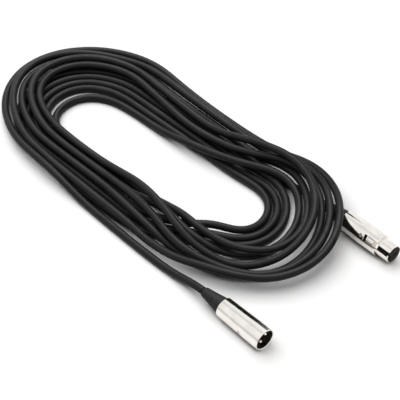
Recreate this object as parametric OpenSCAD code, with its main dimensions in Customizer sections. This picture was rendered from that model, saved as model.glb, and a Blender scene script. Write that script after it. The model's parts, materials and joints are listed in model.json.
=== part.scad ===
// Microphone cable: a coil of round black cable with a three-pin plug and a
// three-hole socket on its two ends. Millimetres, +Z up, both plugs point to +X.

/* [Cable] */
// Outer diameter of the cable
cable_d = 6.5; // [6.2:0.1:6.5]
// Cable turns are laid this far apart, centre to centre
lane_pitch = 7.0; // [7.0:0.1:7.2]

/* [Coil] */
// Length of the coil's straight sides
straight = 156; // [150:1:160]
// Radius of lane 0 round the coil's two ends
end_r = 25; // [24:0.5:26]

/* [Plugs] */
// Diameter of both metal shells
shell_d = 19; // [18.8:0.1:19.4]
// Length of the male shell
male_len = 46; // [45:0.5:48]
// Length of the female shell without its nose
female_len = 40; // [40:0.5:42]
// Diameter of the female nose
nose_d = 15.8; // [15.6:0.1:15.9]
// Length of the female nose
nose_len = 13; // [12.5:0.5:13.5]
// Bore of the male cup
cup_d = 16.6; // [16.4:0.1:16.8]
// Diameter of the contact pins
pin_d = 2.4; // [2.3:0.1:2.5]
// Circle that the three contacts stand on
contact_circle_d = 8; // [7.8:0.1:8.2]
// Length of rubber boot that shows behind a shell
boot_len = 22; // [20:0.5:24]

/* [Latch] */
// Width of the latch lever
latch_w = 5.5; // [5:0.1:6]
// How far round the female shell the latch lies, from the top
latch_roll = 56; // [40:1:60]

/* [Hidden] */

$fn = 64;
black = [0.07, 0.07, 0.075];
nickel = [0.78, 0.77, 0.74];
steel = [0.62, 0.62, 0.62];
brass = [0.80, 0.66, 0.33];

shell_r = shell_d / 2;
axis_z = shell_r;
coil_centre = [-19.9, -2.1];
male_at = [144.6, -78.6, axis_z];
male_roll = -15;
female_at = [142.1, 59.9, axis_z];
// The cable's centre over the table: its underside is pressed flat by a tenth
// of its diameter.
table_z = cable_d * 0.4;

// ---- Coil ----------------------------------------------------------------
// One row for each turn, inside to outside of the winding order. A turn has
// twelve stations: 0 is the right end, 3 the middle of the back run, 6 the left
// end and 9 the middle of the front run. Each number is a lane, counted in
// cable pitches outwards from lane 0.
lanes = [
    [4.65, 4.65, 4.85, 4.65, 4.35, 4.3, 5.8, 6.35, 6.45, 6.45, 5.8, 2.1],
    [3.9, 4.4, 3.65, 3.6, 3.3, 3.2, 4.6, 5.2, 5.1, 5.0, 4.6, 1.05],
    [2.8, 3.35, 2.6, 2.55, 2.25, 2.15, 3.5, 4.1, 3.9, 3.7, 3.5, 0],
    [1.6, 2.3, 1.6, 1.5, 1.2, 1.1, 2.4, 3.0, 2.7, 2.5, 2.45, 3.4],
    [5.5, 5.55, 2.3, 0.5, 0.15, -0.4, 0.5, 1.8, 1.55, 1.3, 1.4, 2.3],
    [6.65, 6.6, 5.9, 5.9, 5.8, 6.1, 7.5, 5.1, 4.7, 4.6, 5.2, 5.85],
    [9.0, 7.6, 4.2, 2.9, 3.4, 4.3, 5.5, 2.5, 2.15, 1.95, 2.8, 4.75],
    [7.95, 7.1, 5.2, 4.5, 4.8, 5.4, 6.5, 3.75, 3.4, 3.3, 4.0, 6.1],
    [10.05, 8.65, 6.95, 6.5, 6.65, 7.35, 8.45, 6.35, 6.5, 6.55, 6.6, 7.2],
    [11.2, 9.75, 8.05, 7.6, 7.75, 8.5, 9.6, 7.4, 7.5, 7.6, 7.7, 7.7]
];
stations = 12;
first_station = 2;
last_station = 118;
loop_rings = 24;
coil_sides = 6;
// A turn's rings: four on each straight side and eight round each end, with the
// rings round the ends set out so that their chords keep the lanes' spacing.
end_step = 180 / 8;
end_spread = 1 / cos(end_step / 2);
// Least room between two stretches of cable, and the places between two rings
// where it is looked after.
least_room = 0.42;
ring_samples = 6;
coil_ends = [
    [coil_centre.x + straight / 3, coil_centre.y + end_r + lane_pitch * lanes[0][2], table_z],
    [coil_centre.x + straight / 3, coil_centre.y - end_r - lane_pitch * lanes[9][10], table_z]
];

// Free stretches from the coil to the boots, chosen by hand. The first point of
// each is the coil's own end.
male_route = [
    coil_ends[1] + [cable_d, 0, 0],
    [53.1, -81, 2.6], [67.1, -80.7, 2.6], [81.1, -80.1, 2.9], [93.1, -79.5, 4.3],
    [105.1, -78.9, 7.2], [116.1, -78.6, axis_z], [male_at.x - boot_len, -78.6, axis_z]
];
female_route = [
    coil_ends[0] + [cable_d, 0, 0],
    [50.1, 56.9, 2.6], [63.1, 58.1, 2.6], [76.1, 59.1, 2.9], [89.1, 59.7, 4.4],
    [102.1, 59.9, 7.5], [113.6, 59.9, axis_z], [female_at.x - boot_len, 59.9, axis_z]
];
lead_sides = 10;
// What the turns climb over beside each other: the female stretch, its boot and
// the rear of its shell, as points with a radius.
boot_r = [4.2, 7.6];
hurdles = concat(
    [for (p = female_route) [p, cable_d / 2]],
    [[female_at - [boot_len, 0, 0], boot_r[0]], [female_at - [0.1, 0, 0], boot_r[1]],
     [female_at, shell_r], [female_at + [female_len, 0, 0], shell_r]]
);

function flat_lanes() = [for (row = lanes) for (lane = row) lane];

// Smooth lane between stations, through every listed value
function lane_at(s, flat) =
    let (i = floor(s), t = s - i, last = len(flat) - 1)
    let (a = flat[max(i - 1, 0)], b = flat[min(i, last)], c = flat[min(i + 1, last)], d = flat[min(i + 2, last)])
    0.5 * (2 * b + (c - a) * t + (2 * a - 5 * b + 4 * c - d) * t * t + (3 * b - a - 3 * c + d) * t * t * t);

// Station of ring i, whose turn starts in the middle of the right end
function ring_station(i) =
    let (turn = floor(i / loop_rings), k = i - turn * loop_rings)
    let (part = k < 4 ? k * 3 / 8 : k < 8 ? 1.5 + (k - 4) * 3 / 4 : k < 16 ? 4.5 + (k - 8) * 3 / 8
        : k < 20 ? 7.5 + (k - 16) * 3 / 4 : 10.5 + (k - 20) * 3 / 8)
    turn * stations + part;

// Place of a point at station s and radius r on the long oval
function oval(s, r) =
    let (k = s - stations * floor(s / stations), h = straight / 2, wide = r * end_spread)
    k < 1.5 ? coil_centre + [h + wide * cos(60 * k), wide * sin(60 * k)]
    : k <= 4.5 ? coil_centre + [h - (k - 1.5) * straight / 3, r]
    : k < 7.5 ? coil_centre - [h + wide * cos(60 * k), wide * sin(60 * k)]
    : k <= 10.5 ? coil_centre + [(k - 7.5) * straight / 3 - h, -r]
    : coil_centre + [h + wide * cos(60 * k), wide * sin(60 * k)];

function unit(v) = v / norm(v);

// Height that clears a round bar of radius r between a and b, seen from above at p
function over(p, a, b, r) =
    let (run = [b.x - a.x, b.y - a.y], span = norm(run), t = run / span, d = [p.x - a.x, p.y - a.y])
    let (f = d * t / span, across = abs(d.x * t.y - d.y * t.x), apart = r + cable_d / 2 + least_room)
    f < -0.15 || f > 1.15 || across > apart ? 0 : a.z + (b.z - a.z) * f + sqrt(apart * apart - across * across);

// Height of the cable at a place between rings i and i + 1: the table, or what
// the earlier turns and the female stretch make it climb over
function resting_height(plan, z, i, f) =
    let (p = plan[i] + (plan[i + 1] - plan[i]) * f)
    max(concat(
        [table_z],
        [for (back = i - loop_rings; back > -3; back = back - loop_rings)
            for (j = [max(back - 3, 0):min(back + 3, len(z) - 2)])
                over(p, [plan[j].x, plan[j].y, z[j]], [plan[j + 1].x, plan[j + 1].y, z[j + 1]], cable_d / 2)],
        p.x < 20 || p.y < 30 ? [] :
        [for (k = [0:len(hurdles) - 2])
            over(p, hurdles[k][0], hurdles[k + 1][0], max(hurdles[k][1], hurdles[k + 1][1]))]
    ));

// Heights of all rings. A ring lies as high as the stretches on its two sides
// ask for, so each crossing becomes a long low hump.
function heights(plan, z = [], i = 0) =
    i >= len(plan) ? z : heights(plan, concat(z, max(concat([table_z],
        [for (k = [max(i - 1, 0):min(i, len(plan) - 2)]) for (j = [0:ring_samples])
            resting_height(plan, z, k, j / ring_samples)]))), i + 1);

// Centre points of the coil's rings, with one straight diameter at each end
function coil_points() =
    let (
        flat = flat_lanes(),
        turns = [for (i = [0:len(lanes) * loop_rings]) ring_station(i)],
        used = [for (s = turns) if (s > first_station && s < last_station) s],
        marks = concat([first_station], used, [last_station]),
        plan = [for (s = marks) oval(s, end_r + lane_pitch * lane_at(s, flat))],
        z = heights(plan)
    )
    concat(
        [coil_ends[0] + [cable_d, 0, 0]],
        [for (i = [0:len(plan) - 1]) [plan[i].x, plan[i].y, z[i]]],
        [coil_ends[1] + [cable_d, 0, 0]]
    );

// Least gap between stretches of a tube that are more than a third of a turn apart
function least_gap(points, d) =
    let (n = len(points) - 1, fine = [for (i = [0:n - 1]) for (f = [0, 0.25, 0.5, 0.75]) points[i] + (points[i + 1] - points[i]) * f])
    min([for (i = [0:2:len(fine) - 1])
        min([for (j = [i + 32:1:len(fine) - 1])
            if (abs(fine[i].x - fine[j].x) < 12 && abs(fine[i].y - fine[j].y) < 12) norm(fine[i] - fine[j]), 99])]) - d;

function length_of(points) =
    let (steps = [for (i = [1:len(points) - 1]) norm(points[i] - points[i - 1])]) steps * [for (s = steps) 1];

// ---- Tube along points ------------------------------------------------------
module tube(points, d, sides) {
    n = len(points);
    rings = [for (i = [0:n - 1])
        let (
            t = unit(points[min(i + 1, n - 1)] - points[max(i - 1, 0)]),
            side = unit(cross(t, [0, 0, 1])), up = cross(side, t)
        )
        for (k = [0:sides - 1])
            let (a = 360 / sides * k, p = points[i] + (side * cos(a) + up * sin(a)) * d / 2)
            [p.x, p.y, max(p.z, 0)]];
    walls = [for (i = [0:n - 2]) for (k = [0:sides - 1])
        let (a = i * sides + k, b = i * sides + (k + 1) % sides)
        for (face = [[a, b, b + sides], [a, b + sides, a + sides]]) face];
    caps = [for (k = [1:sides - 2])
        for (face = [[0, k + 1, k], [(n - 1) * sides, (n - 1) * sides + k, (n - 1) * sides + k + 1]]) face];
    polyhedron(rings, concat(walls, caps), convexity = 12);
}

module cable_coil() {
    points = coil_points();
    echo(coil_least_gap = least_gap(points, cable_d), coil_length = length_of(points), top = max([for (p = points) p.z]));
    color(black) tube(points, cable_d, coil_sides);
}

module male_lead() {
    color(black) tube(male_route, cable_d, lead_sides);
}

module female_lead() {
    color(black) tube(female_route, cable_d, lead_sides);
}

// ---- Plug frames ------------------------------------------------------------
// Inside a plug, x = 0 is the shell's rear edge and +X its front. +Z is the key
// side, which on the female plug is the latch side.
module in_male() {
    translate(male_at) rotate([male_roll, 0, 0]) children();
}

module in_female() {
    translate(female_at) rotate([latch_roll, 0, 0]) children();
}

// A revolve about X from a profile of [radius, x] points
module lathe(profile) {
    rotate([0, 90, 0]) rotate_extrude() polygon(profile);
}

module rod(x, length, d, y = 0, z = 0) {
    translate([x, y, z]) rotate([0, 90, 0]) cylinder(h = length, d = d);
}

// Contact 1 to 3 at their places on the circle, as seen from the male face
function contact_at(i) =
    let (a = [30, 150, 270][i - 1], r = contact_circle_d / 2) [0, r * cos(a), r * sin(a)];

// ---- Pieces that both plugs have ---------------------------------------------
insert_seat_x = 18;
boot_collar = [13.6, 5.5];
rear_bore_d = 14;
clamp_x = [6, 12.5];
clamp_d = 13.4;
clamp_room = 0.1;
clamp_screw_at = [9.3, 4.75];
core_d = 1.4;
shoulder_d = 2.8;
sleeve_d = 3;
cup_x = insert_seat_x - 2.5;

// Rubber boot: a collar inside the shell, then a taper with shallow grooves
module boot() {
    color(black) difference() {
        lathe([
            [0, -boot_len], [boot_r[0] - 0.5, -boot_len], [boot_r[0], -boot_len + 0.6],
            [boot_r[0] + 0.6, -boot_len + 5], [6.7, -6], [boot_r[1] - 0.2, -1.2], [boot_r[1], -0.6], [boot_r[1], 0],
            [boot_collar[0] / 2, 0], [boot_collar[0] / 2, boot_collar[1]], [0, boot_collar[1]]
        ]);
        rod(-boot_len - 1, boot_len + 11, cable_d + 0.3);
        for (i = [0:3])
            translate([-boot_len + 3.4 + 2.6 * i, 0, 0])
                lathe([[boot_r[0] + 0.2 + 0.36 * i, 0], [9, 0], [9, 0.9], [boot_r[0] + 0.2 + 0.36 * i, 0.9]]);
    }
}

// The cable's jacket, from the boot's mouth to inside the clamp
module cable_end() {
    color(black) rod(-boot_len, boot_len + clamp_x[1] + 0.5, cable_d);
}

// Clamp plate: stands on the insert's rear face and cradles the cable
module clamp() {
    color(steel) intersection() {
        rod(clamp_x[0] - 1, insert_seat_x - clamp_x[0] + 1, clamp_d);
        difference() {
            union() {
                translate([clamp_x[0], -8, -8]) cube([clamp_x[1] - clamp_x[0], 16, 7]);
                translate([clamp_x[1] - 1, -3, -7]) cube([insert_seat_x - clamp_x[1] + 1, 6, 1.25]);
            }
            rod(clamp_x[0] - 1, 12, cable_d + clamp_room);
            for (y = [-1, 1]) translate([clamp_screw_at[0], y * clamp_screw_at[1], -6]) cylinder(h = 8, d = 1.4);
        }
    }
}

// Saddle that two screws pull down onto the cable
module clamp_saddle() {
    color(steel) difference() {
        intersection() {
            translate([clamp_x[0] + 0.5, -8, -0.8]) cube([clamp_x[1] - clamp_x[0] - 1, 16, 8]);
            rod(clamp_x[0], 8, clamp_d);
        }
        rod(clamp_x[0] - 1, 12, cable_d + clamp_room);
        for (y = [-1, 1]) translate([clamp_screw_at[0], y * clamp_screw_at[1], 0]) {
            translate([0, 0, -2]) cylinder(h = 9, d = 1.6);
            translate([0, 0, 1.4]) cylinder(h = 6, d = 3);
        }
    }
}

module clamp_screws() {
    color(steel) for (y = [-1, 1]) translate([clamp_screw_at[0], y * clamp_screw_at[1], 0]) {
        translate([0, 0, -4]) cylinder(h = 5.4, d = 1.4);
        difference() {
            translate([0, 0, 1.4]) cylinder(h = 1.1, d = 2.6);
            translate([-2, -0.2, 2.1]) cube([4, 0.4, 1]);
        }
    }
}

// Three cores fan out from the cable's end and stand in the contacts' solder cups
module wires() {
    start = clamp_x[1] + 0.5;
    for (i = [1:3]) {
        c = contact_at(i);
        color(["white", "red", brass][i - 1]) {
            hull() {
                translate([start, c.y * 0.35, c.z * 0.35]) rotate([0, 90, 0]) cylinder(h = 0.3, d = core_d, $fn = 24);
                translate([cup_x - 0.3, c.y, c.z]) rotate([0, 90, 0]) cylinder(h = 0.3, d = core_d, $fn = 24);
            }
            rod(cup_x - 0.1, 1.6, core_d, c.y, c.z);
        }
    }
}

// Small slotted screw that holds the insert: its place along the plug, its angle
// from the key side, and how far out its head sits
module insert_screw(at) {
    color(steel) rotate([at[1], 0, 0]) translate([at[0], 0, 0]) difference() {
        union() {
            translate([0, 0, 5.6]) cylinder(h = at[2] - 5.6, d = 2);
            translate([0, 0, at[2]]) cylinder(h = at[3] - at[2], d = 3);
        }
        translate([-0.25, -2, at[3] - 0.35]) cube([0.5, 4, 1]);
    }
}

module screw_hole(at) {
    rotate([at[1], 0, 0]) translate([at[0], 0, 0]) {
        translate([0, 0, 5]) cylinder(h = 5, d = 2.1);
        translate([0, 0, at[2]]) cylinder(h = 3, d = 3.3);
    }
}

// ---- Male plug ----------------------------------------------------------------
male_screw = [26, 112, 8.75, 9.2];
male_face_x = male_len - 16;
pin_reach = 13;
// Width and length of the key rib on the cup's wall
key_w = 2.4;
key_len = 7;

module male_shell() {
    color(nickel) in_male() difference() {
        lathe([
            [0, 0], [8.3, 0], [8.6, 0.3], [9.15, 22], [9.4, 30], [shell_r, 34],
            [shell_r, male_len - 0.5], [shell_r - 0.3, male_len], [0, male_len]
        ]);
        rod(-1, insert_seat_x + 2, rear_bore_d);
        rod(insert_seat_x, male_len, cup_d);
        translate([male_len - 0.4, 0, 0]) rotate([0, 90, 0]) cylinder(h = 0.5, d1 = cup_d, d2 = cup_d + 1);
        // Pocket in the cup's wall where a latch hooks in
        translate([male_len - 7.5, -1.8, 6]) cube([2.4, 3.6, 2.9]);
        screw_hole(male_screw);
    }
}

module male_insert() {
    color(black) in_male() difference() {
        union() {
            rod(insert_seat_x, male_face_x - insert_seat_x, cup_d - 0.1);
            intersection() {
                translate([male_face_x - 1, -key_w / 2, 6.9]) cube([key_len + 1, key_w, 3]);
                rod(male_face_x - 1, key_len + 1, cup_d - 0.1);
            }
        }
        for (i = [1:3]) rod(insert_seat_x - 1, male_len, shoulder_d, contact_at(i).y, contact_at(i).z);
        rotate([male_screw[1], 0, 0]) translate([male_screw[0], 0, 5.6]) cylinder(h = 4, d = 2.1);
    }
}

// Turned pin: a round nose, a thicker stem inside the insert and a solder cup
module male_pin(i) {
    c = contact_at(i);
    tip = male_face_x + pin_reach;
    color(nickel) in_male() translate([0, c.y, c.z]) difference() {
        lathe([
            [0, cup_x], [shoulder_d / 2, cup_x], [shoulder_d / 2, male_face_x], [pin_d / 2, male_face_x],
            [pin_d / 2, tip - 0.9], [pin_d / 2 - 0.15, tip - 0.45],
            [pin_d / 2 - 0.5, tip - 0.1], [pin_d / 2 - 0.8, tip], [0, tip]
        ]);
        rod(cup_x - 1, 3, core_d + 0.1);
    }
}

// ---- Female plug -----------------------------------------------------------------
female_screw = [23.5, 0, 8.5, 9.35];
female_front = female_len + nose_len;
female_face_x = female_front - 1;
female_bore_d = 14.2;
slot = [26.2, 41.6];
// Depth and length of the groove at the nose's root
root_groove = [0.35, 2];
// The keyway runs from the latch opening out through the nose's rim, so that
// the cup's key rib can enter it
keyway = [slot[1] - 0.1, female_front + 1];
keyway_w = key_w + 0.4;
well_z = 3.6;
// Hinge of the latch, along the plug and above its axis
hinge = [28, 5.0];
hinge_pin_d = 1.5;
lever_z = [5.2, 6.5];
tab = [29.8, 36.8];
hook = [39.3, 41.2];
latch_gap = 0.3;

module female_shell() {
    color(nickel) in_female() difference() {
        lathe([
            [0, 0], [8.3, 0], [8.7, 0.4], [9.1, 8], [9.4, 16], [shell_r, 20], [shell_r, female_len - 0.5],
            [shell_r - 0.4, female_len], [nose_d / 2 - root_groove[0], female_len],
            [nose_d / 2 - root_groove[0], female_len + root_groove[1]], [nose_d / 2, female_len + root_groove[1]],
            [nose_d / 2, female_front - 0.6], [nose_d / 2 - 0.5, female_front], [0, female_front]
        ]);
        rod(-1, insert_seat_x + 2, rear_bore_d);
        rod(insert_seat_x, female_front, female_bore_d);
        // Latch opening in the body, then the keyway through the nose's wall
        translate([slot[0], -latch_w / 2 - latch_gap, 5.5]) cube([slot[1] - slot[0], latch_w + 2 * latch_gap, 6]);
        translate([keyway[0], -keyway_w / 2, 5]) cube([keyway[1] - keyway[0], keyway_w, 4]);
        screw_hole(female_screw);
    }
}

module female_insert() {
    color(black) in_female() difference() {
        rod(insert_seat_x, female_face_x - insert_seat_x, female_bore_d - 0.1);
        for (i = [1:3]) {
            rod(insert_seat_x - 1, female_face_x - insert_seat_x + 0.2, sleeve_d, contact_at(i).y, contact_at(i).z);
            rod(insert_seat_x - 1, female_front, pin_d + 0.3, contact_at(i).y, contact_at(i).z);
        }
        // Well for the latch, with the hinge pin's bore across it
        translate([slot[0] - 0.2, -latch_w / 2 - 0.2, well_z]) cube([slot[1] - slot[0] + 0.4, latch_w + 0.4, 6]);
        translate([hinge[0], -3.8, hinge[1]]) rotate([-90, 0, 0]) cylinder(h = 7.6, d = hinge_pin_d);
        translate([keyway[0], -keyway_w / 2, 5.6]) cube([keyway[1] - keyway[0], keyway_w, 3]);
        translate([female_screw[0], 0, 5.6]) cylinder(h = 4, d = 2.1);
    }
}

// Sprung sleeve with a solder cup on its tail
module female_contact(i) {
    c = contact_at(i);
    color(brass) in_female() translate([0, c.y, c.z]) difference() {
        rod(cup_x, female_face_x - 0.8 - cup_x, sleeve_d);
        rod(female_face_x - 14.8, 15, pin_d + 0.1);
        rod(cup_x - 1, 3, core_d + 0.1);
    }
}

// Lever: hinge eye at the rear, press tab in the middle, hook at the front
module latch_lever() {
    color(nickel) in_female() difference() {
        union() {
            translate([hinge[0], -latch_w / 2, lever_z[0]]) cube([hook[1] - hinge[0], latch_w, lever_z[1] - lever_z[0]]);
            translate([hinge[0], -latch_w / 2, hinge[1]]) rotate([-90, 0, 0]) cylinder(h = latch_w, d = 2.5);
            // Press tab with finger grooves across it
            difference() {
                intersection() {
                    translate([tab[0], -latch_w / 2, lever_z[0]]) cube([tab[1] - tab[0], latch_w, 6]);
                    rod(tab[0] - 1, tab[1], shell_d + 1.2);
                }
                for (i = [0:3]) translate([tab[0] + 1.1 + 1.4 * i, -4, 9.7]) cube([0.6, 8, 2]);
            }
            // Hook, sloped in front so that a cup's rim pushes it down
            translate([0, 1.6, 0]) rotate([90, 0, 0]) linear_extrude(3.2)
                polygon([[hook[0], lever_z[0]], [hook[1], lever_z[0]], [hook[1], 7.3], [hook[1] - 1.1, 8.8], [hook[0], 8.8]]);
        }
        translate([hinge[0], -4, hinge[1]]) rotate([-90, 0, 0]) cylinder(h = 8, d = hinge_pin_d + 0.1);
    }
}

module latch_pin() {
    color(steel) in_female() translate([hinge[0], -3.8, hinge[1]]) rotate([-90, 0, 0]) cylinder(h = 7.6, d = hinge_pin_d);
}

// Small coil spring between the well's floor and the tab, drawn as its outer tube
module latch_spring() {
    color(steel) in_female() translate([34, 0, well_z]) difference() {
        cylinder(h = lever_z[0] - well_z, d = 3);
        translate([0, 0, -1]) cylinder(h = 4, d = 2);
    }
}

// ---- Drawing ---------------------------------------------------------------------
cable_coil();
male_lead();
female_lead();
male_shell();
male_insert();
male_pin(1);  // male_pin_1
male_pin(2);  // male_pin_2
male_pin(3);  // male_pin_3
in_male() insert_screw(male_screw);  // male_insert_screw
in_male() clamp();  // male_clamp
in_male() clamp_saddle();  // male_clamp_saddle
in_male() clamp_screws();  // male_clamp_screws
in_male() boot();  // male_boot
in_male() cable_end();  // male_cable_end
in_male() wires();  // male_wires
female_shell();
female_insert();
female_contact(1);  // female_contact_1
female_contact(2);  // female_contact_2
female_contact(3);  // female_contact_3
in_female() insert_screw(female_screw);  // female_insert_screw
latch_lever();
latch_spring();
latch_pin();
in_female() clamp();  // female_clamp
in_female() clamp_saddle();  // female_clamp_saddle
in_female() clamp_screws();  // female_clamp_screws
in_female() boot();  // female_boot
in_female() cable_end();  // female_cable_end
in_female() wires();  // female_wires
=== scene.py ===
# A coiled microphone cable with a pin plug and a socket plug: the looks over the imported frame
import bmesh
import bpy
import json
import math
import numpy as np
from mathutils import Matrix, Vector


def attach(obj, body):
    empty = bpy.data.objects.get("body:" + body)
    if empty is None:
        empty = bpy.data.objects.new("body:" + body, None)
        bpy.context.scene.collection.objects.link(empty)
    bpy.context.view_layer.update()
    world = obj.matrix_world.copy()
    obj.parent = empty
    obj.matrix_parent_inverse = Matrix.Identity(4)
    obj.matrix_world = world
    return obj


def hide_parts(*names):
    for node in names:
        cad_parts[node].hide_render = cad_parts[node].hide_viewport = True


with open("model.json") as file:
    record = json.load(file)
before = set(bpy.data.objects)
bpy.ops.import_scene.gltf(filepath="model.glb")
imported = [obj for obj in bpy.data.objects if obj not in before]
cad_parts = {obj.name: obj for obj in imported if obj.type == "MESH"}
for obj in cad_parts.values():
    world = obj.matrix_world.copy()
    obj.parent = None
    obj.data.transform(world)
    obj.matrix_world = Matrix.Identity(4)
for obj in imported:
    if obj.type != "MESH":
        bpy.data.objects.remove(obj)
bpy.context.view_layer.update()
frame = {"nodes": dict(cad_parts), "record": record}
print("frame loaded:", len(frame["nodes"]), "nodes")

viewSettings = {
    "target": (0.0377, -0.0054, 0.0), "azimuth": 47.4, "elevation": 44.5, "distance": 1.5,
    "lens": 162.65, "sensor": 36.0, "farLimit": 20.0,
}


def makeCamera(view):
    az, el = math.radians(view["azimuth"]), math.radians(view["elevation"])
    away = Vector((math.cos(el) * math.sin(az), -math.cos(el) * math.cos(az), math.sin(el)))
    data = bpy.data.cameras.new("camera")
    data.sensor_fit = "HORIZONTAL"
    data.sensor_width = view["sensor"]
    data.lens = view["lens"]
    data.clip_end = view["farLimit"]
    camera = bpy.data.objects.new("camera", data)
    camera.location = Vector(view["target"]) + away * view["distance"]
    camera.rotation_euler = (-away).to_track_quat("-Z", "Y").to_euler()
    bpy.context.collection.objects.link(camera)
    bpy.context.scene.camera = camera


makeCamera(viewSettings)
print("camera set")

# The cord and the boots are worked out in millimetres, and their meshes are made in metres.
mmPerMetre = 1000
plugSettings = {
    "axisHeight": 9.5, "shellRadius": 9.5, "pinPlugRear": (144.6, -78.6), "socketPlugRear": (142.1, 59.9),
    "crossedLength": 40.0,  # strands may lie over this much of the socket plug's shell
    "pointStep": 2.0,
}
# A boot tapers from its root at the shell to its mouth on the cable, and has a collar inside the shell.
# Its flare hollows the taper a little.
bootSettings = {
    "length": 22.0, "mouth": 4.2, "root": 7.6, "flare": 0.14, "lip": 0.6, "bore": 3.4,
    "collarRadius": 6.75, "collarLength": 5.5, "lipSteps": 5, "rings": 16, "sides": 64, "creaseAngle": 50.0,
}

# The coil has one row for each turn. A turn has twelve stations: the middle of the right end, then the back,
# the left end and the front. Each number is a lane, counted in pitches outwards from lane 0.
coilLanes = [
    [4.65, 4.65, 4.85, 4.65, 4.35, 4.3, 5.8, 6.35, 6.45, 6.45, 5.8, 2.1],
    [3.9, 4.4, 3.65, 3.6, 3.3, 3.2, 4.6, 5.2, 5.1, 5.0, 4.6, 1.05],
    [2.8, 3.35, 2.6, 2.55, 2.25, 2.15, 3.5, 4.1, 3.9, 3.7, 3.5, 0],
    [1.6, 2.3, 1.6, 1.5, 1.2, 1.1, 2.4, 3.0, 2.7, 2.5, 2.45, 3.4],
    [5.5, 5.55, 2.3, 0.5, 0.15, -0.4, 0.5, 1.8, 1.55, 1.3, 1.4, 2.3],
    [6.65, 6.6, 5.9, 5.9, 5.8, 6.1, 7.5, 5.1, 4.7, 4.6, 5.2, 5.85],
    [9.0, 7.6, 4.2, 2.9, 3.4, 4.3, 5.5, 2.5, 2.15, 1.95, 2.8, 4.75],
    [7.95, 7.1, 5.2, 4.5, 4.8, 5.4, 6.5, 3.75, 3.4, 3.3, 4.0, 6.1],
    [10.05, 8.65, 6.95, 6.5, 6.65, 7.35, 8.45, 6.35, 6.5, 6.55, 6.6, 7.2],
    [11.2, 9.75, 8.05, 7.6, 7.75, 8.5, 9.6, 7.4, 7.5, 7.6, 7.7, 7.7],
]
stationsPerTurn = 12
backStart, leftStart, frontStart, rightStart = 1.5, 4.5, 7.5, 10.5
stationsPerSide = 3
degreesPerStation = 60  # round an end

# The stretches between the coil and the boots: from the socket plug, and to the pin plug.
socketStretch = [
    (120.1, 59.9, 9.5), (113.6, 59.9, 9.45), (102.1, 59.9, 7.9), (89.1, 59.7, 4.9), (76.1, 59.1, 3.5),
    (63.1, 58.1, 3.25), (50.1, 56.9, 3.25),
]
pinStretch = [
    (53.1, -81.0, 3.25), (67.1, -80.7, 3.25), (81.1, -80.1, 3.5), (93.1, -79.5, 4.8), (105.1, -78.9, 7.5),
    (116.1, -78.6, 9.4), (122.6, -78.6, 9.5),
]
cordSettings = {
    "diameter": 6.5, "lanePitch": 7.0, "centre": (-19.9, -2.1), "straight": 156.0, "endRadius": 25.0,
    "firstStation": 2.0, "lastStation": 118.0, "samplesPerTurn": 96, "stretchSteps": 2,
    "spacing": 6.95,  # least distance between the middles of two strands
    "plugGap": 0.4,  # room between a strand and the plug below it
    "strandReach": 8.0, "plugReach": 4.0,  # how far along, either way, a strand feels what lies below it
    "ownSamples": 40,  # the points just behind one, which don't count as another strand
    "freeSamples": 16,  # the points at the pin plug's end, which may slide in under other strands
    "humpSamples": 3,  # the points each side over which a rise is spread
    "curveSteps": 2, "step": 3.5, "easing": 10, "sides": 20,
}


def throughPoints(before, a, b, after, t):
    # a smooth way from a to b, which also heeds the points before and after them
    return 0.5 * (2 * a + (b - before) * t + (2 * before - 5 * a + 4 * b - after) * t * t
                  + (3 * a - before - 3 * b + after) * t ** 3)


def laneAt(station, lanes):
    i = int(math.floor(station))
    around = [lanes[min(max(j, 0), len(lanes) - 1)] for j in range(i - 1, i + 3)]
    return throughPoints(*around, station - i)


def onOval(station, radius, cord):
    k = station % stationsPerTurn
    half, (cx, cy) = cord["straight"] / 2, cord["centre"]
    if k < backStart or k > rightStart or leftStart < k < frontStart:
        angle = math.radians(degreesPerStation * k)
        side = -1 if leftStart < k < frontStart else 1
        return cx + side * half + side * radius * math.cos(angle), cy + side * radius * math.sin(angle)
    if k <= leftStart:
        return cx + half - (k - backStart) * cord["straight"] / stationsPerSide, cy + radius
    return cx + (k - frontStart) * cord["straight"] / stationsPerSide - half, cy - radius


def smoothed(points, steps):
    fine = []
    for i in range(len(points) - 1):
        before, after = points[max(i - 1, 0)], points[min(i + 2, len(points) - 1)]
        for s in range(steps):
            fine.append(throughPoints(before, points[i], points[i + 1], after, s / steps))
    return np.array(fine + [points[-1]])


def planRoute(cord):
    # from the socket plug's boot, over the table into the coil, and out of it to the pin plug's boot
    lanes = [lane for row in coilLanes for lane in row]
    step = stationsPerTurn / cord["samplesPerTurn"]
    count = int(round((cord["lastStation"] - cord["firstStation"]) / step))
    coil = []
    for i in range(count + 1):
        station = cord["firstStation"] + step * i
        radius = cord["endRadius"] + cord["lanePitch"] * laneAt(station, lanes)
        coil.append((*onOval(station, radius, cord), cord["diameter"] / 2))
    coil = np.array(coil)
    steps = cord["stretchSteps"]
    start = smoothed(np.vstack([socketStretch, coil[:2]]), steps)[:-steps - 1]
    end = smoothed(np.vstack([coil[-2:], pinStretch]), steps)[steps + 1:]
    return np.vstack([start, coil, end])


def directions(path):
    along = np.gradient(path, axis=0)
    return along / np.linalg.norm(along, axis=1)[:, None]


def socketPlugLine(cord):
    # points along the plug's axis, and how near each of them a strand's middle may come
    rear, length = plugSettings["socketPlugRear"], bootSettings["length"]
    xs = np.arange(-length, plugSettings["crossedLength"], plugSettings["pointStep"])
    points = np.stack([rear[0] + xs, np.full(len(xs), rear[1])], 1)
    taper = (bootSettings["root"] - bootSettings["mouth"]) / length
    radius = np.where(xs < 0, bootSettings["root"] + taper * xs, plugSettings["shellRadius"])
    return points, radius + cord["diameter"] / 2 + cord["plugGap"]


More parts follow.
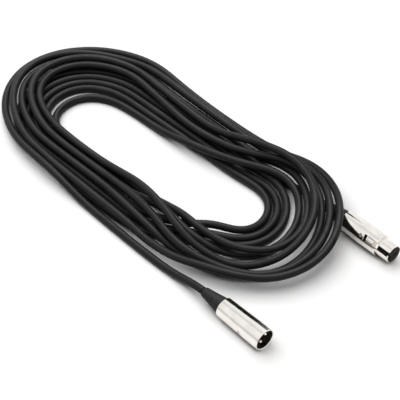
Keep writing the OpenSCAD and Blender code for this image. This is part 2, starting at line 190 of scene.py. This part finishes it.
def layDown(plan, cord):
    # each stretch lies on the table or on what was laid there before it; one that fits underneath stays down
    gap, window, count = cord["spacing"], cord["humpSamples"], len(plan)
    flat = plan[:, :2]
    along = directions(flat)
    raw = np.full(count, cord["diameter"] / 2)
    rest = raw.copy()
    plug, plugRoom = socketPlugLine(cord)

    def settle(q):
        # a rise starts and ends gently, and nothing sinks below the plan
        nearby = range(max(q - window, 0), min(q + window, count - 1) + 1)
        peaks = [raw[max(a - window, 0):a + window + 1].max() for a in nearby]
        return max(sum(peaks) / len(peaks), plan[q, 2])

    for k in range(count):
        laid = k - cord["ownSamples"]
        if laid > 0:
            away = flat[k] - flat[:laid]
            run = np.abs((away * along[:laid]).sum(1))
            across = np.abs(away[:, 0] * along[:laid, 1] - away[:, 1] * along[:laid, 0])
            near = (run < cord["strandReach"]) & (across < gap)
            under = rest[:laid][near]
            rise = np.sqrt(gap ** 2 - across[near] ** 2)
            carries = (under - rise <= plan[k, 2]) | (k < count - cord["freeSamples"])
            if carries.any():
                raw[k] = max(raw[k], (under + rise)[carries].max())
            away = np.abs(flat[k] - plug)
            near = (away[:, 0] < cord["plugReach"]) & (away[:, 1] < plugRoom)
            if near.any():
                rise = np.sqrt(plugRoom[near] ** 2 - away[near, 1] ** 2)
                raw[k] = max(raw[k], (plugSettings["axisHeight"] + rise).max())
        if k >= 2 * window:
            rest[k - 2 * window] = settle(k - 2 * window)
    for q in range(max(count - 2 * window, 0), count):
        rest[q] = settle(q)
    return np.column_stack([flat, rest])


def evened(path, cord):
    # points at one even step along the path, then eased, which opens the tightest bends; the ends stay
    length = np.concatenate([[0], np.cumsum(np.linalg.norm(np.diff(path, axis=0), axis=1))])
    marks = np.linspace(0, length[-1], int(length[-1] / cord["step"]) + 1)
    even = np.column_stack([np.interp(marks, length, path[:, axis]) for axis in range(3)])
    for turn in range(cord["easing"]):
        even[1:-1] = (even[:-2] + 2 * even[1:-1] + even[2:]) / 4
    even[:, 2] = np.maximum(even[:, 2], cord["diameter"] / 2)
    return even


def addPiece(name, points, faces):
    mesh = bpy.data.meshes.new(name)
    mesh.from_pydata(points, [], faces)
    piece = bpy.data.objects.new(name, mesh)
    bpy.context.collection.objects.link(piece)
    return piece


def tube(name, path, diameter, sides):
    # a ring round each point of the path, joined to the next one, and a flat face at both ends
    along = directions(path)
    side = np.cross(along, (0.0, 0.0, 1.0))
    side /= np.linalg.norm(side, axis=1)[:, None]
    up = np.cross(side, along)
    turns = np.arange(sides) * 2 * math.pi / sides
    rings = path[:, None, :] + diameter / 2 * (side[:, None, :] * np.cos(turns)[None, :, None]
                                               + up[:, None, :] * np.sin(turns)[None, :, None])
    last = (len(path) - 1) * sides
    faces = []
    for ring in range(0, last, sides):
        for k in range(sides):
            beside = (k + 1) % sides
            faces.append((ring + k, ring + beside, ring + sides + beside, ring + sides + k))
    faces.append(tuple(range(sides))[::-1])
    faces.append(tuple(last + k for k in range(sides)))
    piece = addPiece(name, rings.reshape(-1, 3).tolist(), faces)
    piece.data.polygons.foreach_set("use_smooth", [True] * len(faces))
    return piece


def makeCord(cord):
    route = smoothed(layDown(planRoute(cord), cord), cord["curveSteps"])
    path = evened(route, cord) / mmPerMetre
    length = np.linalg.norm(np.diff(path, axis=0), axis=1).sum()
    return tube("cable", path, cord["diameter"] / mmPerMetre, cord["sides"]), path, float(length)


def bootOutline(boot):
    # distance from the shell's rear edge and radius, from the bore's mouth round the outside to the collar
    length, lip, rise = boot["length"], boot["lip"], boot["root"] - boot["mouth"]
    quarter = [math.pi / 2 * i / boot["lipSteps"] for i in range(boot["lipSteps"] + 1)]
    outline = [(-length, boot["bore"])]
    outline += [(-length + lip * (1 - math.cos(a)), boot["mouth"] - lip * (1 - math.sin(a))) for a in quarter]
    for i in range(1, boot["rings"]):
        t = i / boot["rings"]
        outline.append((-length * (1 - t), boot["mouth"] + rise * t * (1 - boot["flare"] * (1 - t))))
    outline += [(-lip * (1 - math.sin(a)), boot["root"] - lip * (1 - math.cos(a))) for a in quarter]
    outline.append((0, boot["collarRadius"]))
    outline.append((boot["collarLength"], boot["collarRadius"]))
    outline.append((boot["collarLength"], boot["bore"]))
    return outline


def makeBoot(name, rear, boot):
    outline, sides = bootOutline(boot), boot["sides"]
    points, faces = [], []
    for x, radius in outline:
        for k in range(sides):
            angle = 2 * math.pi * k / sides
            place = (rear[0] + x, rear[1] + radius * math.cos(angle),
                     plugSettings["axisHeight"] + radius * math.sin(angle))
            points.append([value / mmPerMetre for value in place])
    for i in range(len(outline)):
        ring, after = i * sides, (i + 1) % len(outline) * sides
        for k in range(sides):
            beside = (k + 1) % sides
            faces.append((ring + k, ring + beside, after + beside, after + k))
    piece = addPiece(name, points, faces)
    shape = bmesh.new()
    shape.from_mesh(piece.data)
    bmesh.ops.recalc_face_normals(shape, faces=shape.faces)
    shape.to_mesh(piece.data)
    shape.free()
    piece.data.polygons.foreach_set("use_smooth", [True] * len(faces))
    piece.data.set_sharp_from_angle(angle=math.radians(boot["creaseAngle"]))
    return piece


cable, cordPath, cordLength = makeCord(cordSettings)
pinPlugBoot = makeBoot("pinPlugBoot", plugSettings["pinPlugRear"], bootSettings)
socketPlugBoot = makeBoot("socketPlugBoot", plugSettings["socketPlugRear"], bootSettings)
print("cable laid: %.2f m, highest strand's middle at %.1f mm"
      % (cordLength, cordPath[:, 2].max() * mmPerMetre))

# Finishes. Each noise is its scale per metre and its detail. Roughness is the least and the most.
jacketLook = {
    "dark": (0.009, 0.009, 0.0094), "light": (0.014, 0.014, 0.0146), "roughness": (0.38, 0.48),
    "specular": 0.13, "toneNoise": (60, 4), "glossNoise": (160, 3),
    "swellNoise": (90, 2), "swellBump": 0.25, "swellDepth": 0.0006, "skinNoise": (2200, 2), "skinBump": 0.15,
}
bootLook = {
    "dark": (0.008, 0.008, 0.0085), "light": (0.013, 0.013, 0.0135), "roughness": (0.55, 0.68),
    "specular": 0.18, "skinNoise": (1500, 2), "skinBump": 0.35,
}
insertLook = {
    "dark": (0.004, 0.004, 0.004), "light": (0.008, 0.008, 0.008), "roughness": (0.38, 0.5),
    "specular": 0.1, "skinNoise": (1200, 2), "skinBump": 0.15,
}
coreLook = {
    "dark": (0.30, 0.05, 0.04), "light": (0.40, 0.07, 0.05), "roughness": (0.35, 0.45),
    "specular": 0.5, "skinNoise": (900, 2), "skinBump": 0.1,
}
# A metal's marks are drawn out along the plug where drawn is less than 1.
shellLook = {
    "dark": (0.82, 0.785, 0.74), "light": (0.90, 0.865, 0.82), "roughness": (0.10, 0.17),
    "markBump": 0.10, "drawn": 0.04,
}
pinLook = {
    "dark": (0.86, 0.84, 0.80), "light": (0.92, 0.90, 0.86), "roughness": (0.10, 0.18),
    "markBump": 0.05, "drawn": 1.0,
}
steelLook = {
    "dark": (0.50, 0.49, 0.48), "light": (0.58, 0.57, 0.56), "roughness": (0.28, 0.4),
    "markBump": 0.15, "drawn": 1.0,
}
contactLook = {
    "dark": (0.30, 0.23, 0.10), "light": (0.36, 0.28, 0.13), "roughness": (0.25, 0.35),
    "markBump": 0.1, "drawn": 1.0,
}
mouldedNoise = {"tone": (150, 3), "gloss": (500, 3)}
metalNoise = {"tone": (120, 4), "gloss": (400, 4), "marks": (1100, 3)}
toneBand, glossBand = (0.35, 0.65), (0.3, 0.7)  # the part of a noise's values that a finish uses
skinDepth = 0.0001  # of skin and turning marks, in metres
mixFirst, mixSecond, mixResult = 6, 7, 2  # the colour sockets of a Mix node


def newFinish(name):
    finish = bpy.data.materials.new(name)
    finish.use_nodes = True
    tree = finish.node_tree
    return finish, tree, tree.nodes["Principled BSDF"]


def addNode(tree, kind, inputs=None, **settings):
    node = tree.nodes.new(kind)
    for key, value in settings.items():
        setattr(node, key, value)
    for key, value in (inputs or {}).items():
        node.inputs[key].default_value = value
    return node


def grain(tree, scale, detail, stretch=None):
    # noise in object space; stretch squeezes it along one axis
    place = addNode(tree, "ShaderNodeTexCoord").outputs["Object"]
    if stretch:
        mapping = addNode(tree, "ShaderNodeMapping", {"Scale": stretch})
        tree.links.new(place, mapping.inputs["Vector"])
        place = mapping.outputs["Vector"]
    noise = addNode(tree, "ShaderNodeTexNoise", {"Scale": scale, "Detail": detail})
    tree.links.new(place, noise.inputs["Vector"])
    return noise.outputs["Fac"]


def remap(tree, value, source, target):
    limits = {"From Min": source[0], "From Max": source[1], "To Min": target[0], "To Max": target[1]}
    node = addNode(tree, "ShaderNodeMapRange", limits)
    tree.links.new(value, node.inputs["Value"])
    return node.outputs["Result"]


def between(tree, factor, first, second):
    # a mix of two colours, each a plain colour or another node's output
    node = addNode(tree, "ShaderNodeMix", data_type="RGBA")
    for socket, color in ((mixFirst, first), (mixSecond, second)):
        if isinstance(color, tuple):
            node.inputs[socket].default_value = (*color, 1)
        else:
            tree.links.new(color, node.inputs[socket])
    tree.links.new(factor, node.inputs["Factor"])
    return node.outputs[mixResult]


def bumpInto(tree, shader, height, strength, depth, below=None):
    node = addNode(tree, "ShaderNodeBump", {"Strength": strength, "Distance": depth})
    tree.links.new(height, node.inputs["Height"])
    if below:
        tree.links.new(below, node.inputs["Normal"])
    tree.links.new(node.outputs["Normal"], shader.inputs["Normal"])
    return node.outputs["Normal"]


def paint(tree, shader, look, toneNoise, glossNoise):
    # colour and roughness wander over the surface, each on its own noise
    tone = remap(tree, grain(tree, *toneNoise), toneBand, (0, 1))
    tree.links.new(between(tree, tone, look["dark"], look["light"]), shader.inputs["Base Color"])
    gloss = remap(tree, grain(tree, *glossNoise), glossBand, look["roughness"])
    tree.links.new(gloss, shader.inputs["Roughness"])


def jacketFinish(name, look):
    finish, tree, shader = newFinish(name)
    paint(tree, shader, look, look["toneNoise"], look["glossNoise"])
    shader.inputs["Specular IOR Level"].default_value = look["specular"]
    # fine moulded skin over the slow swell of the cores inside
    swell = bumpInto(tree, shader, grain(tree, *look["swellNoise"]), look["swellBump"], look["swellDepth"])
    bumpInto(tree, shader, grain(tree, *look["skinNoise"]), look["skinBump"], skinDepth, swell)
    return finish


def mouldedFinish(name, look):
    finish, tree, shader = newFinish(name)
    paint(tree, shader, look, mouldedNoise["tone"], mouldedNoise["gloss"])
    shader.inputs["Specular IOR Level"].default_value = look["specular"]
    bumpInto(tree, shader, grain(tree, *look["skinNoise"]), look["skinBump"], skinDepth)
    return finish


def metalFinish(name, look):
    finish, tree, shader = newFinish(name)
    shader.inputs["Metallic"].default_value = 1.0
    paint(tree, shader, look, metalNoise["tone"], metalNoise["gloss"])
    marks = grain(tree, *metalNoise["marks"], stretch=(look["drawn"], 1, 1))
    bumpInto(tree, shader, marks, look["markBump"], skinDepth)
    return finish


jacket = jacketFinish("jacketRubber", jacketLook)
bootRubber = mouldedFinish("bootRubber", bootLook)
satinNickel = metalFinish("satinNickel", shellLook)
nodeFinishes = {
    "jacket": jacket, "boot": bootRubber, "shell": satinNickel, "latch": satinNickel,
    "insert": mouldedFinish("insertPlastic", insertLook), "cores": mouldedFinish("coreSleeve", coreLook),
    "pins": metalFinish("brightPlate", pinLook), "steel": metalFinish("plainSteel", steelLook),
    "contacts": metalFinish("contactBrass", contactLook),
}
for sub in frame["record"]["subparts"]:
    for held in frame["nodes"][sub["node"]].material_slots:
        held.material = nodeFinishes[sub["material_slot"]]
print("finishes made:", len(nodeFinishes))

# The cord takes the place of the coil and its two leads, and the smooth boots that of the grooved ones.
cable.data.materials.append(jacket)
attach(cable, "cable")
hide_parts("cable_coil", "male_lead", "female_lead")
for boot, node in ((pinPlugBoot, "male_boot"), (socketPlugBoot, "female_boot")):
    boot.data.materials.append(bootRubber)
    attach(boot, "cable")
    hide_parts(node)

# The floor's contact colour is a painted shadow, put where ambient occlusion finds strands close by.
floorSettings = {
    "halfWidth": 4.0, "litColor": (0.38, 0.38, 0.38), "seenColor": (1.0, 0.995, 0.99),
    "paintedShadowColor": (0.06, 0.06, 0.06), "paintedShadowReach": 0.008, "paintedShadowBand": (0.2, 0.5), "paintedShadowSamples": 8,
}
backdropSettings = {"litStrength": 0.20, "seenStrength": 1.0}
keySettings = {"name": "softKey", "strength": 2.9, "angle": 76.0, "from": (-0.40, 0.0, 1.0)}
sheenSettings = {"name": "rubberSheen", "strength": 4.8, "angle": 50.0, "from": (-0.36, 0.28, 1.0)}
# Cards that only reflections show give the round metal its darker bands. A fade is the axis that it runs
# along, where the card is darkest, and how far from there it is as white as the backdrop.
reflectedCards = [
    {"name": "blackCard", "glow": 0.004, "fade": None,
     "corners": [(-0.06, 0.15, 0.0), (0.07, 0.15, 0.0), (0.07, 0.15, 0.15), (-0.06, 0.15, 0.24)]},
    {"name": "lowBlackCard", "glow": 0.01, "fade": None,
     "corners": [(0.125, 0.03, 0.0), (0.2, 0.03, 0.0), (0.2, 0.03, 0.013), (0.125, 0.03, 0.026)]},
    {"name": "lowGreyCard", "glow": 0.66, "fade": ("Z", 0.12, 0.36),
     "corners": [(-1.2, -0.8, 0.0), (1.2, -0.8, 0.0), (1.2, -0.8, 0.48), (-1.2, -0.8, 0.48)]},
    {"name": "topGreyCard", "glow": 0.76, "fade": ("Y", 0.0, 0.32),
     "corners": [(-1.4, -0.32, 1.0), (0.4, -0.32, 1.0), (0.4, 0.32, 1.0), (-1.4, 0.32, 1.0)]},
]
white = (1, 1, 1, 1)
black = (0, 0, 0, 1)


def seenRay(tree):
    # 1 for a ray from the eye, off polished metal or through glass, and 0 for light on its way to the object
    path = addNode(tree, "ShaderNodeLightPath")
    seen = path.outputs["Is Camera Ray"]
    for name in ("Is Glossy Ray", "Is Transmission Ray"):
        either = addNode(tree, "ShaderNodeMath", operation="MAXIMUM")
        tree.links.new(seen, either.inputs[0])
        tree.links.new(path.outputs[name], either.inputs[1])
        seen = either.outputs[0]
    return seen


def makeFloor(look):
    half = look["halfWidth"]
    floor = addPiece("floor", [(-half, -half, 0), (half, -half, 0), (half, half, 0), (-half, half, 0)],
                     [(0, 1, 2, 3)])
    finish, tree, shader = newFinish("paleFloor")
    shader.inputs["Roughness"].default_value = 1.0
    shader.inputs["Specular IOR Level"].default_value = 0.0
    # to the eye and in a reflection the floor is white, with a painted shadow that darkens it right beside
    # and between the strands
    nearness = addNode(tree, "ShaderNodeAmbientOcclusion", {"Distance": look["paintedShadowReach"]},
                       samples=look["paintedShadowSamples"])
    clearOfPaintedShadow = remap(tree, nearness.outputs["AO"], look["paintedShadowBand"], (0, 1))
    seen = between(tree, clearOfPaintedShadow, look["paintedShadowColor"], look["seenColor"])
    # it lights the object as grey card
    tree.links.new(between(tree, seenRay(tree), look["litColor"], seen), shader.inputs["Base Color"])
    floor.data.materials.append(finish)


def makeBackdrop(look):
    # white to the eye and in reflections, and dimmer as a light
    world = bpy.data.worlds.new("studio")
    bpy.context.scene.world = world
    world.use_nodes = True
    tree = world.node_tree
    sky = tree.nodes["Background"]
    sky.inputs["Color"].default_value = white
    strength = remap(tree, seenRay(tree), (0, 1), (look["litStrength"], look["seenStrength"]))
    tree.links.new(strength, sky.inputs["Strength"])


def makeSun(look):
    data = bpy.data.lights.new(look["name"], "SUN")
    data.energy = look["strength"]
    data.angle = math.radians(look["angle"])
    lamp = bpy.data.objects.new(look["name"], data)
    lamp.rotation_euler = (-Vector(look["from"])).to_track_quat("-Z", "Y").to_euler()
    bpy.context.collection.objects.link(lamp)
    return lamp


def makeLights():
    # the key lights everything; the shine is for the rubber alone, so that polished metal isn't burnt out
    key = makeSun(keySettings)
    key.visible_glossy = False
    sheen = makeSun(sheenSettings)
    sheen.visible_diffuse = False
    rubber = bpy.data.collections.new("rubber")
    for piece in (cable, pinPlugBoot, socketPlugBoot):
        rubber.objects.link(piece)
    sheen.light_linking.receiver_collection = rubber


def fadeCard(tree, shader, look):
    axis, middle, half = look["fade"]
    split = addNode(tree, "ShaderNodeSeparateXYZ")
    tree.links.new(addNode(tree, "ShaderNodeTexCoord").outputs["Object"], split.inputs["Vector"])
    offset = addNode(tree, "ShaderNodeMath", {1: middle}, operation="SUBTRACT")
    tree.links.new(split.outputs[axis], offset.inputs[0])
    away = addNode(tree, "ShaderNodeMath", operation="ABSOLUTE")
    tree.links.new(offset.outputs[0], away.inputs[0])
    glow = remap(tree, away.outputs[0], (0, half), (look["glow"], backdropSettings["seenStrength"]))
    tree.links.new(glow, shader.inputs["Emission Strength"])


def makeCard(look):
    card = addPiece(look["name"], look["corners"], [(0, 1, 2, 3)])
    finish, tree, shader = newFinish(look["name"])
    shader.inputs["Base Color"].default_value = black
    shader.inputs["Specular IOR Level"].default_value = 0.0
    shader.inputs["Emission Color"].default_value = white
    shader.inputs["Emission Strength"].default_value = look["glow"]
    if look["fade"]:
        fadeCard(tree, shader, look)
    card.data.materials.append(finish)
    card.visible_camera = False
    card.visible_diffuse = False
    card.visible_shadow = False


makeFloor(floorSettings)
makeBackdrop(backdropSettings)
makeLights()
for card in reflectedCards:
    makeCard(card)
bpy.context.scene.view_settings.view_transform = "Standard"
print("studio set")
